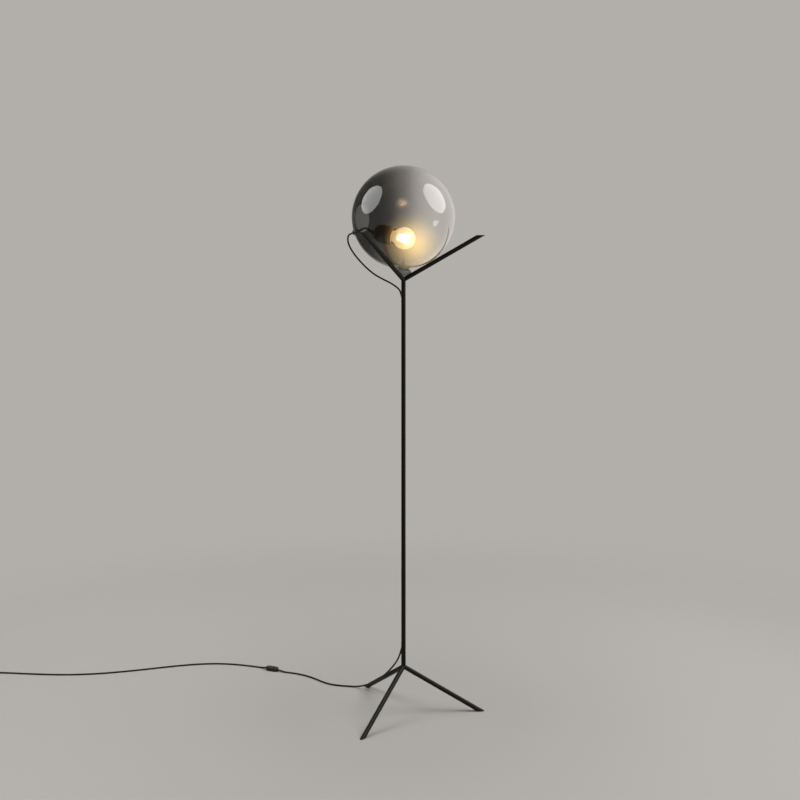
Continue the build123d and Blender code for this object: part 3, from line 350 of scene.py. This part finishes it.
def backdrop(tree, colour):
    node = tree.nodes.new("ShaderNodeBackground")
    node.inputs["Color"].default_value = colour
    return node.outputs[0]


def studioWorld():
    world = bpy.data.worlds.new("studio")
    world.use_nodes = True
    tree = world.node_tree
    tree.nodes.clear()
    output = tree.nodes.new("ShaderNodeOutputWorld")
    rays = tree.nodes.new("ShaderNodeLightPath").outputs
    sideways = splitAxes(tree, tree.nodes.new("ShaderNodeTexCoord").outputs["Generated"])["X"]
    plain = backdrop(tree, studio["background"])
    mirrored = plain
    for side, sign in (("darkSide", -1), ("paleSide", 1)):
        edge = (sign * studio["sideFrom"], sign * studio["sideTo"])
        share = spreadOver(tree, sideways, *edge, curve="SMOOTHSTEP")
        mirrored = mixShaders(tree, share, mirrored, backdrop(tree, studio[side]))
    seen = calculate(tree, "MAXIMUM", rays["Is Camera Ray"], rays["Is Transmission Ray"])
    lit = mixShaders(tree, rays["Is Glossy Ray"], backdrop(tree, studio["fill"]), mirrored)
    tree.links.new(mixShaders(tree, seen, lit, plain), output.inputs["Surface"])
    return world


def groundMaterial():
    material, tree, shader = newMaterial("floorFinish")
    shader.inputs["Roughness"].default_value = ground["roughness"]
    shader.inputs["Specular IOR Level"].default_value = ground["specular"]
    distance = tree.nodes.new("ShaderNodeVectorMath")
    distance.operation = "LENGTH"
    feed(tree, distance.inputs[0], objectPlace(tree))
    away = distance.outputs["Value"]
    paler = spreadOver(tree, away, ground["farStart"], ground["farEnd"])
    feed(tree, shader.inputs["Base Color"], mixValues(tree, "RGBA", paler, ground["near"], ground["far"]))
    fade = spreadOver(tree, away, ground["fadeStart"], ground["fadeEnd"], curve="SMOOTHERSTEP")
    clear = tree.nodes.new("ShaderNodeBsdfTransparent").outputs[0]
    surface = mixShaders(tree, fade, shader.outputs[0], clear)
    tree.links.new(surface, tree.nodes["Material Output"].inputs["Surface"])
    return material


def addSoftbox(name, box):
    wide, high = box["size"]
    lamp = bpy.data.lights.new(name, "AREA")
    lamp.shape = "ELLIPSE"
    lamp.size, lamp.size_y = wide, high
    lamp.energy = box["level"] * pi * pi / 4 * wide * high
    softbox = addObject(name, lamp)
    way = Vector(box["way"]).normalized()
    softbox.location = Vector(studio["aim"]) + way * box["away"]
    softbox.rotation_mode = "QUATERNION"
    softbox.rotation_quaternion = way.to_track_quat("Z", "Y")
    softbox.visible_camera = False
    softbox.visible_transmission = False
    softbox.visible_glossy = box.get("seenInGloss", True)


def pieceFrom(mesh, name):
    data = bpy.data.meshes.new(name)
    mesh.to_mesh(data)
    mesh.free()
    return addObject(name, data)


bpy.context.scene.world = studioWorld()
bpy.context.scene.view_settings.view_transform = "Standard"
mesh = bmesh.new()
bmesh.ops.create_circle(mesh, cap_ends=True, segments=ground["sides"], radius=ground["reach"])
floor = pieceFrom(mesh, "floor")
floor.data.materials.append(groundMaterial())
for name, box in studio["softboxes"].items():
    addSoftbox(name, box)
print("studio lit")

# fine grain and slow unevenness: what powder coat, moulded plastic, rubber and plating have in common
grainPattern = {
    "grainDetail": 3,
    "patchDetail": 5,
    "patchRoughness": 0.6,
    "grainShare": 0.4,
    "patchShare": 0.6,
    "noiseLow": 0.3,  # the noise seldom leaves these, which become -1 and 1
    "noiseHigh": 0.7,
}
# dust that settles on what faces up
dustPattern = {
    "colour": (0.42, 0.40, 0.37, 1),
    "roughness": 0.8,
    "liesFrom": 0.3,  # how far up a surface has to face
    "speckleScale": 420,
    "speckleDetail": 6,
}


def nodeGroup(name, inputs, outputs):
    group = bpy.data.node_groups.new(name, "ShaderNodeTree")
    for label, kind, value in inputs:
        socket = group.interface.new_socket(label, in_out="INPUT", socket_type=kind)
        socket.default_value = value
    for label, kind in outputs:
        group.interface.new_socket(label, in_out="OUTPUT", socket_type=kind)
    given = group.nodes.new("NodeGroupInput").outputs
    made = group.nodes.new("NodeGroupOutput").inputs
    return group, given, made


def surfaceGrain():
    group, given, made = nodeGroup(
        "surfaceGrain",
        (
            ("Colour", "NodeSocketColor", (0.5, 0.5, 0.5, 1)),
            ("Colour Spread", "NodeSocketFloat", 0.1),
            ("Roughness", "NodeSocketFloat", 0.5),
            ("Roughness Spread", "NodeSocketFloat", 0.05),
            ("Grain Scale", "NodeSocketFloat", 1500.0),
            ("Patch Scale", "NodeSocketFloat", 40.0),
        ),
        (("Colour", "NodeSocketColor"), ("Roughness", "NodeSocketFloat"), ("Height", "NodeSocketFloat")),
    )
    place = objectPlace(group)
    grain = noiseOn(group, place, given["Grain Scale"], grainPattern["grainDetail"])
    patches = noiseOn(
        group, place, given["Patch Scale"], grainPattern["patchDetail"], grainPattern["patchRoughness"]
    )
    patchPart = calculate(group, "MULTIPLY", patches, grainPattern["patchShare"])
    uneven = calculate(group, "MULTIPLY_ADD", grain, grainPattern["grainShare"], patchPart)
    uneven = spreadOver(group, uneven, grainPattern["noiseLow"], grainPattern["noiseHigh"], low=-1.0)
    shade = calculate(group, "MULTIPLY_ADD", uneven, given["Colour Spread"], 1.0)
    feed(group, made["Colour"], scaleVector(group, given["Colour"], shade))
    rough = calculate(group, "MULTIPLY_ADD", uneven, given["Roughness Spread"], given["Roughness"])
    feed(group, made["Roughness"], rough)
    feed(group, made["Height"], grain)
    return group


def settledDust():
    group, given, made = nodeGroup(
        "settledDust",
        (
            ("Colour", "NodeSocketColor", (0.5, 0.5, 0.5, 1)),
            ("Roughness", "NodeSocketFloat", 0.5),
            ("Amount", "NodeSocketFloat", 0.05),
        ),
        (("Colour", "NodeSocketColor"), ("Roughness", "NodeSocketFloat")),
    )
    facing = group.nodes.new("ShaderNodeNewGeometry").outputs["Normal"]
    upward = splitAxes(group, facing)["Z"]
    lies = spreadOver(group, upward, dustPattern["liesFrom"], 1.0, curve="SMOOTHSTEP")
    speckle = noiseOn(group, objectPlace(group), dustPattern["speckleScale"], dustPattern["speckleDetail"])
    cover = calculate(group, "MULTIPLY", lies, speckle)
    amount = calculate(group, "MULTIPLY", cover, given["Amount"])
    dusty = mixValues(group, "RGBA", amount, given["Colour"], dustPattern["colour"])
    feed(group, made["Colour"], dusty)
    dull = mixValues(group, "FLOAT", amount, given["Roughness"], dustPattern["roughness"])
    feed(group, made["Roughness"], dull)
    return group


grainGroup = surfaceGrain()
dustGroup = settledDust()

# the spreads are how far colour and roughness stray; grain and patch are the noises' scales
finishes = {
    "satinBlackCoat": {
        "colour": (0.0046, 0.0044, 0.0041), "spread": 0.12, "roughness": 0.40, "roughnessSpread": 0.05,
        "specular": 0.15, "grain": 1100, "patch": 25, "bump": 0.00002, "dust": 0.02,
    },
    "footRubber": {
        "colour": (0.016, 0.016, 0.016), "spread": 0.2, "roughness": 0.72, "roughnessSpread": 0.08,
        "grain": 2200, "patch": 90, "bump": 0.00004, "dust": 0.03,
    },
    "cableSheath": {
        "colour": (0.0065, 0.0063, 0.0063), "spread": 0.15, "roughness": 0.47, "roughnessSpread": 0.06,
        "specular": 0.25, "grain": 2600, "patch": 60, "bump": 0.00002, "dust": 0.03,
    },
    "switchPlastic": {
        "colour": (0.0060, 0.0060, 0.0062), "spread": 0.15, "roughness": 0.52, "roughnessSpread": 0.05,
        "grain": 3500, "patch": 80, "bump": 0.00003, "dust": 0.04,
    },
    "rockerPlastic": {
        "colour": (0.0105, 0.0105, 0.011), "spread": 0.1, "roughness": 0.30, "roughnessSpread": 0.06,
        "grain": 3500, "patch": 120, "bump": 0.00001, "dust": 0.03,
    },
    "plugPlastic": {
        "colour": (0.0140, 0.0140, 0.0145), "spread": 0.15, "roughness": 0.50, "roughnessSpread": 0.05,
        "grain": 3000, "patch": 70, "bump": 0.00003, "dust": 0.04,
    },
    "strapFabric": {
        "colour": (0.018, 0.018, 0.019), "spread": 0.35, "roughness": 0.9, "roughnessSpread": 0.05,
        "grain": 1800, "patch": 400, "bump": 0.00015, "dust": 0.04,
    },
    "stemBlack": {
        "colour": (0.014, 0.013, 0.012), "spread": 0.1, "roughness": 0.36, "roughnessSpread": 0.05,
        "grain": 1500, "patch": 60, "bump": 0.00001,
    },
    "darkBronze": {
        "colour": (0.150, 0.085, 0.047), "spread": 0.2, "roughness": 0.38, "roughnessSpread": 0.08,
        "metallic": 0.7, "grain": 900, "patch": 60, "bump": 0.00001,
    },
    # bronze with painted light: the ring's pale colour stands in for the bulb's light falling on it,
    # beside the cup's dark bronze
    "ringBronzeAndPaintedLight": {
        "colour": (0.80, 0.60, 0.34), "spread": 0.12, "roughness": 0.36, "roughnessSpread": 0.08,
        "metallic": 0.85, "grain": 900, "patch": 60, "bump": 0.00001,
    },
    "plainBrass": {
        "colour": (0.72, 0.50, 0.22), "spread": 0.1, "roughness": 0.28, "roughnessSpread": 0.08,
        "metallic": 1.0, "grain": 1600, "patch": 150, "bump": 0.00001,
    },
    "nickelCap": {
        "colour": (0.66, 0.64, 0.60), "spread": 0.06, "roughness": 0.24, "roughnessSpread": 0.06,
        "metallic": 1.0, "grain": 1600, "patch": 150, "bump": 0.00001,
    },
    "platedPins": {
        "colour": (0.70, 0.69, 0.67), "spread": 0.05, "roughness": 0.18, "roughnessSpread": 0.06,
        "metallic": 1.0, "grain": 1600, "patch": 150, "bump": 0.00001,
    },
    "zincScrews": {
        "colour": (0.52, 0.52, 0.53), "spread": 0.08, "roughness": 0.32, "roughnessSpread": 0.08,
        "metallic": 1.0, "grain": 2400, "patch": 300, "bump": 0.00001,
    },
    "leadWire": {
        "colour": (0.60, 0.57, 0.52), "spread": 0.05, "roughness": 0.3, "roughnessSpread": 0.05,
        "metallic": 1.0, "grain": 3000, "patch": 300,
    },
    "glazedPorcelain": {
        "colour": (0.80, 0.78, 0.74), "spread": 0.03, "roughness": 0.22, "roughnessSpread": 0.05,
        "grain": 900, "patch": 120, "bump": 0.00001,
    },
    "wireSheath": {
        "colour": (0.19, 0.085, 0.04), "spread": 0.05, "roughness": 0.42, "roughnessSpread": 0.05,
        "grain": 2500, "patch": 200,
    },
    "seatSilicone": {
        "colour": (0.34, 0.34, 0.31), "spread": 0.06, "roughness": 0.28, "roughnessSpread": 0.06,
        "clear": 0.85, "bending": 1.41, "grain": 1500, "patch": 80, "bump": 0.00002,
    },
    "blackGlass": {
        "colour": (0.006, 0.006, 0.007), "spread": 0.05, "roughness": 0.12, "roughnessSpread": 0.03,
        "grain": 900, "patch": 120,
    },
}
wornBy = {
    "satinBlackCoat": ["pole_tube", "leg_right", "leg_back", "leg_front",
                       "arm_right", "arm_back", "arm_front"],
    "footRubber": ["foot_pad_right", "foot_pad_back", "foot_pad_front", "upper_cable_bush",
                   "lower_cable_bush", "gland_washer_outer", "gland_washer_inner", "stem_sleeve"],
    "cableSheath": ["pole_cord", "plug_strain_relief"],
    "switchPlastic": ["switch_base", "switch_cover", "cord_clamps"],
    "rockerPlastic": ["switch_rocker"],
    "plugPlastic": ["plug_body"],
    "strapFabric": ["coil_tie"],
    "stemBlack": ["gland_bush", "gland_nut", "holder_stem"],
    "darkBronze": ["holder_cup", "stem_nipple"],
    "ringBronzeAndPaintedLight": ["holder_ring"],
    "plainBrass": ["screw_shell", "centre_contact", "side_contact", "terminal_blocks",
                   "bridge_contact", "switch_contacts"],
    "nickelCap": ["bulb_cap", "bulb_contact"],
    "platedPins": ["plug_pins"],
    "zincScrews": ["switch_screws", "switch_terminal_screws", "stem_grub_screw", "nipple_nut",
                   "terminal_screws"],
    "leadWire": ["filament_leads"],
    "glazedPorcelain": ["holder_insert"],
    "wireSheath": ["lamp_wires"],
    "seatSilicone": ["globe_seat"],
    "blackGlass": ["bulb_insulator"],
}


def finishMaterial(name, values):
    material, tree, shader = newMaterial(name)
    shader.inputs["Metallic"].default_value = values.get("metallic", 0.0)
    shader.inputs["Specular IOR Level"].default_value = values.get("specular", 0.5)
    shader.inputs["IOR"].default_value = values.get("bending", 1.5)
    shader.inputs["Transmission Weight"].default_value = values.get("clear", 0.0)
    shader.inputs["Emission Color"].default_value = (*values.get("glow", (1, 1, 1)), 1)
    shader.inputs["Emission Strength"].default_value = values.get("glowLevel", 0.0)
    surface = tree.nodes.new("ShaderNodeGroup")
    surface.node_tree = grainGroup
    surface.inputs["Colour"].default_value = (*values["colour"], 1)
    surface.inputs["Colour Spread"].default_value = values["spread"]
    surface.inputs["Roughness"].default_value = values["roughness"]
    surface.inputs["Roughness Spread"].default_value = values["roughnessSpread"]
    surface.inputs["Grain Scale"].default_value = values["grain"]
    surface.inputs["Patch Scale"].default_value = values["patch"]
    top = surface
    if "dust" in values:
        top = tree.nodes.new("ShaderNodeGroup")
        top.node_tree = dustGroup
        top.inputs["Amount"].default_value = values["dust"]
        tree.links.new(surface.outputs["Colour"], top.inputs["Colour"])
        tree.links.new(surface.outputs["Roughness"], top.inputs["Roughness"])
    tree.links.new(top.outputs["Colour"], shader.inputs["Base Color"])
    tree.links.new(top.outputs["Roughness"], shader.inputs["Roughness"])
    if "bump" in values:
        bump = tree.nodes.new("ShaderNodeBump")
        bump.inputs["Strength"].default_value = 1.0
        bump.inputs["Distance"].default_value = values["bump"]
        tree.links.new(surface.outputs["Height"], bump.inputs["Height"])
        tree.links.new(bump.outputs["Normal"], shader.inputs["Normal"])
    return material


def wear(thing, material):
    thing.data.materials.clear()
    thing.data.materials.append(material)
    for face in thing.data.polygons:
        face.material_index = 0


materials = {name: finishMaterial(name, values) for name, values in finishes.items()}
for name, wearers in wornBy.items():
    for wearer in wearers:
        wear(nodes[wearer], materials[name])
for thing in (upperCable, floorCable, leftCable):
    wear(thing, materials["cableSheath"])
print("finishes made")


# profiles are drawn by spinning a single vertex, and turned into glass by spinning the profile
def arcVertex(mesh, vertex, centre, axis, angle, steps):
    made = bmesh.ops.spin(
        mesh, geom=[vertex], cent=centre, axis=axis, angle=angle, steps=steps, use_duplicate=False
    )
    return next(piece for piece in made["geom_last"] if isinstance(piece, bmesh.types.BMVert))


def spinWhole(mesh, centre, axis, steps, weld=0.00001):
    bmesh.ops.spin(
        mesh, geom=mesh.verts[:] + mesh.edges[:], cent=centre, axis=axis, angle=2 * pi, steps=steps,
        use_merge=True, use_duplicate=False,
    )
    bmesh.ops.remove_doubles(mesh, verts=mesh.verts, dist=weld)
    bmesh.ops.recalc_face_normals(mesh, faces=mesh.faces)
    for face in mesh.faces:
        face.smooth = True


globe = {
    "centre": (0.0, 0.0, 1.333),
    "radius": 0.140,
    "wall": 0.0025,
    "mouthRadius": 0.039,
    "mouthAzimuth": 150.0,
    "lipRadius": 0.0022,
    "glandElevation": -17.0,
    "glandHole": 0.0051,
    "drillDepth": 0.02,
    "drillSides": 48,
    "steps": 72,  # from the lip to the point across from the mouth
    "lipSteps": 14,
    "turns": 144,
    "sharpFrom": 40.0,
    "bending": 1.5,
    # from left to right across the globe: how much of the light one wall lets in
    "smoke": (
        (0.0, 0.20),
        (0.26, 0.23),
        (0.34, 0.28),
        (0.42, 0.37),
        (0.51, 0.55),
        (0.60, 0.77),
        (0.69, 0.91),
        (0.80, 1.0),
        (1.0, 1.0),
    ),
    "smokeTint": (1.0, 0.985, 0.965),
    # painted glow: an emission on the glass, brightest about the bulb, standing in for the bulb's warm
    # reflection and glare in the glass around it
    "glow": (1.0, 0.65, 0.17),
    "glowLevel": 0.62,
    "paintedGlowCentre": (0.020, 0.0, 1.268),
    "paintedGlowReach": (0.092, 0.32, 0.094),
}


def circleMeet(reach, radius, small):
    # where a circle about the centre meets the lip's circle, along and across the line to the lip
    along = (reach * reach + radius * radius - small * small) / (2 * reach)
    return along, sqrt(radius * radius - along * along)


def blowGlobe():
    centre = Vector(globe["centre"])
    mouthWay = direction(globe["mouthAzimuth"])
    axis = mouthWay.cross(upWay)  # turns from the mouth's axis towards up
    middle = globe["radius"] - globe["wall"] / 2
    lipAcross = globe["mouthRadius"] + globe["lipRadius"]
    lipAngle = atan2(lipAcross, sqrt(middle ** 2 - lipAcross ** 2))
    lipCentre = centre + (mouthWay * cos(lipAngle) + upWay * sin(lipAngle)) * middle
    outerAlong, outerAcross = circleMeet(middle, globe["radius"], globe["lipRadius"])
    innerAlong, innerAcross = circleMeet(middle, globe["radius"] - globe["wall"], globe["lipRadius"])
    outerEnd = lipAngle + atan2(outerAcross, outerAlong)
    innerEnd = lipAngle + atan2(innerAcross, innerAlong)
    lipStart = atan2(outerAcross, outerAlong - middle)
    lipStop = atan2(innerAcross, innerAlong - middle)
    mesh = bmesh.new()
    last = mesh.verts.new(centre - mouthWay * globe["radius"])
    last = arcVertex(mesh, last, centre, axis, outerEnd - pi, globe["steps"])
    last = arcVertex(mesh, last, lipCentre, axis, lipStop - lipStart - 2 * pi, globe["lipSteps"])
    arcVertex(mesh, last, centre, axis, pi - innerEnd, globe["steps"])
    spinWhole(mesh, centre, mouthWay, globe["turns"])
    return pieceFrom(mesh, "smoked_globe")


def drillGlandHole(shell):
    way = direction(cable["glandAzimuth"], globe["glandElevation"])
    mesh = bmesh.new()
    bmesh.ops.create_cone(
        mesh, cap_ends=True, segments=globe["drillSides"], depth=globe["drillDepth"],
        radius1=globe["glandHole"], radius2=globe["glandHole"],
    )
    turned = way.to_track_quat("Z", "Y").to_matrix().to_4x4()
    placed = Matrix.Translation(Vector(globe["centre"]) + way * globe["radius"])
    bmesh.ops.transform(mesh, verts=mesh.verts, matrix=placed @ turned)
    drill = pieceFrom(mesh, "drill")
    hole = shell.modifiers.new("glandHole", "BOOLEAN")
    hole.operation = "DIFFERENCE"
    hole.solver = "EXACT"
    hole.object = drill
    depsgraph = bpy.context.evaluated_depsgraph_get()
    drilled = bpy.data.meshes.new_from_object(shell.evaluated_get(depsgraph))
    shell.modifiers.clear()
    shell.data = drilled
    bpy.data.objects.remove(drill)
    drilled.set_sharp_from_angle(angle=radians(globe["sharpFrom"]))


def smokedGlassMaterial():
    material, tree, shader = newMaterial("smokedGlass")
    shader.inputs["Roughness"].default_value = 0.0
    shader.inputs["IOR"].default_value = globe["bending"]
    shader.inputs["Transmission Weight"].default_value = 1.0
    place = objectPlace(tree)
    across = spreadOver(tree, splitAxes(tree, place)["X"], -globe["radius"], globe["radius"])
    smoke = tree.nodes.new("ShaderNodeValToRGB")
    ramp = smoke.color_ramp
    ramp.interpolation = "B_SPLINE"
    while len(ramp.elements) < len(globe["smoke"]):
        ramp.elements.new(0.5)
    for stop, (position, level) in zip(ramp.elements, globe["smoke"]):
        stop.position = position
        stop.color = (*(level * part for part in globe["smokeTint"]), 1)
    feed(tree, smoke.inputs["Fac"], across)
    feed(tree, shader.inputs["Base Color"], smoke.outputs["Color"])
    # painted glow: the glass emits warm light that fades away from the bulb, standing in for the bulb's
    # reflection and glare
    around = tree.nodes.new("ShaderNodeMapping")
    around.vector_type = "TEXTURE"
    around.inputs["Location"].default_value = globe["paintedGlowCentre"]
    around.inputs["Scale"].default_value = globe["paintedGlowReach"]
    feed(tree, around.inputs["Vector"], place)
    falloff = tree.nodes.new("ShaderNodeTexGradient")
    falloff.gradient_type = "QUADRATIC_SPHERE"
    feed(tree, falloff.inputs["Vector"], around.outputs["Vector"])
    feed(tree, shader.inputs["Emission Color"], scaleVector(tree, globe["glow"], falloff.outputs["Fac"]))
    shader.inputs["Emission Strength"].default_value = globe["glowLevel"]
    return material


smokedGlobe = blowGlobe()
drillGlandHole(smokedGlobe)
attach(smokedGlobe, "globe")
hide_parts("glass_globe")
wear(smokedGlobe, smokedGlassMaterial())
print("globe blown")

bulb = {
    "origin": (-0.07826, 0.014, 1.2926),  # the top of the lampholder's dome, on the bulb's axis
    "azimuth": -20.0,
    "elevation": -11.3,
    "ballCentre": 0.0873,  # from the origin, as glassStart is
    "ballRadius": 0.030,
    "neckRadius": 0.0122,
    "neckCurve": 0.038,
    "glassStart": 0.038,
    "wall": 0.0008,
    "steps": 28,
    "neckSteps": 14,
    "turns": 64,
    "sharpFrom": 50.0,
    # lightly frosted and faintly glowing, for the glare of a lit bulb
    "glass": {
        "colour": (0.98, 0.945, 0.88), "spread": 0.015, "roughness": 0.30, "roughnessSpread": 0.02,
        "clear": 1.0, "glow": (1.0, 0.76, 0.44), "glowLevel": 0.27, "grain": 900, "patch": 60,
    },
    "filament": {
        "colour": (0.85, 0.62, 0.22), "spread": 0.1, "roughness": 0.6, "roughnessSpread": 0.1,
        "glow": (1.0, 0.66, 0.30), "glowLevel": 18.0, "grain": 3000, "patch": 400,
    },
    "mount": {
        "colour": (0.97, 0.96, 0.94), "spread": 0.01, "roughness": 0.03, "roughnessSpread": 0.02,
        "clear": 1.0, "grain": 900, "patch": 120,
    },
}


def blowBulb():
    origin = Vector(bulb["origin"])
    way = direction(bulb["azimuth"], bulb["elevation"])
    axis = way.cross(upWay).normalized()
    across = axis.cross(way)
    outer = bulb["neckRadius"]
    inner = outer - bulb["wall"]
    neckHeight = outer + bulb["neckCurve"]
    neckStart = bulb["ballCentre"] - sqrt((bulb["ballRadius"] + bulb["neckCurve"]) ** 2 - neckHeight ** 2)
    neckTurn = atan2(neckHeight, bulb["ballCentre"] - neckStart)
    ball = origin + way * bulb["ballCentre"]
    neck = origin + way * neckStart + across * neckHeight
    rimPlace = origin + way * bulb["glassStart"]
    mesh = bmesh.new()
    last = mesh.verts.new(ball + way * bulb["ballRadius"])
    last = arcVertex(mesh, last, ball, axis, pi - neckTurn, bulb["steps"])
    last = arcVertex(mesh, last, neck, axis, neckTurn - pi / 2, bulb["neckSteps"])
    rim = mesh.verts.new(rimPlace + across * outer)
    innerRim = mesh.verts.new(rimPlace + across * inner)
    innerNeck = mesh.verts.new(origin + way * neckStart + across * inner)
    mesh.edges.new((last, rim))
    mesh.edges.new((rim, innerRim))
    mesh.edges.new((innerRim, innerNeck))
    last = arcVertex(mesh, innerNeck, neck, axis, pi / 2 - neckTurn, bulb["neckSteps"])
    arcVertex(mesh, last, ball, axis, neckTurn - pi, bulb["steps"])
    spinWhole(mesh, origin, way, bulb["turns"])
    envelope = pieceFrom(mesh, "bulb_envelope")
    envelope.data.set_sharp_from_angle(angle=radians(bulb["sharpFrom"]))
    return envelope


bulbEnvelope = blowBulb()
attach(bulbEnvelope, "globe")
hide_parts("bulb_glass")
wear(bulbEnvelope, finishMaterial("bulbGlass", bulb["glass"]))
wear(nodes["bulb_filaments"], finishMaterial("litFilament", bulb["filament"]))
wear(nodes["bulb_mount"], finishMaterial("mountGlass", bulb["mount"]))
print("bulb lit")
